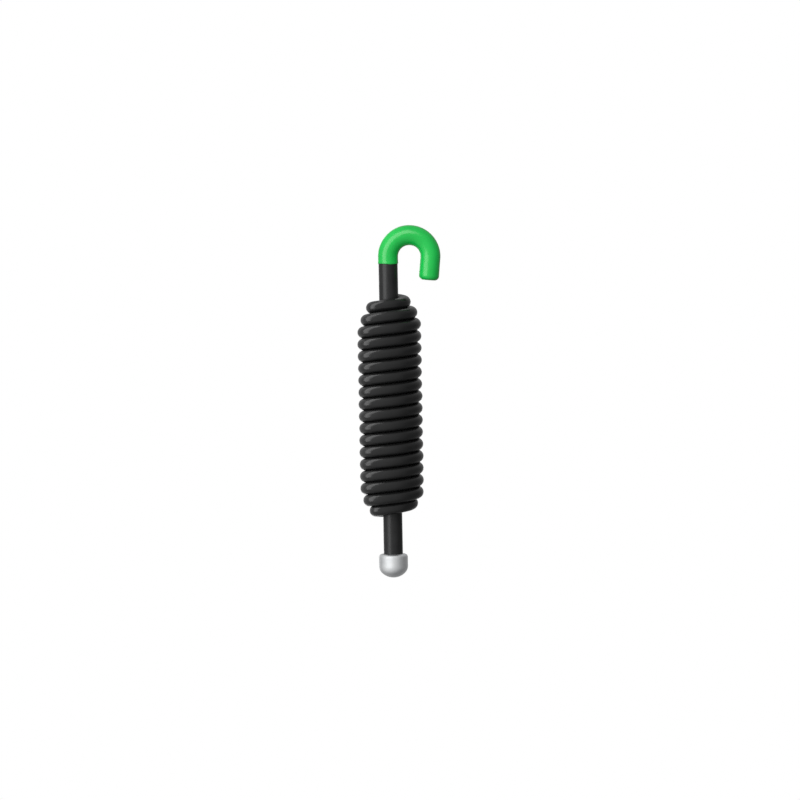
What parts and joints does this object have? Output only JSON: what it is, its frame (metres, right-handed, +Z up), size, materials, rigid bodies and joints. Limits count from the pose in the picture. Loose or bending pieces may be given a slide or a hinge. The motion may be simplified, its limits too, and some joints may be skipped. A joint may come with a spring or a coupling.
{
  "type": "barrier arm balance spring",
  "caption": "Close-wound extension spring with coned ends, a swivelling green-coated hook on top and a rod with a bright domed knob below; it balances a barrier arm.",
  "frame": {"origin": "centre of the hook's bend, where the lever pin that holds the spring sits", "axes": "+Z up along the spring, +X from the shank towards the hook's tip, +Y along the lever pin; the part hangs from the hook"},
  "size_m": [0.066, 0.05, 0.2757],
  "materials": {
    "spring_black": "black coating on spring wire, low sheen",
    "rod_black": "black coating on drawn bar, satin",
    "hook_green": "green dipped vinyl, smooth, half gloss",
    "knob_zinc": "bright zinc plate on turned steel"
  },
  "bodies": {
    "hook": {"hook_rod": "rod_black", "hook_coating": "hook_green"},
    "coil": {"coil_spring": "spring_black"},
    "anchor": {"anchor_rod": "rod_black", "end_knob": "knob_zinc"}
  },
  "joints": [
    {"name": "hook_swivel", "type": "hinge", "parent": "hook", "child": "coil", "pos_m": [-0.0166, 0, -0.04], "axis": [0, 0, 1], "continuous": true},
    {"name": "spring_stretch", "type": "slide", "parent": "coil", "child": "anchor", "axis": [0, 0, -1], "range_m": [0, 0.05], "stiffness_N_per_m": 67000, "deforming": ["coil_spring"]}
  ]
}
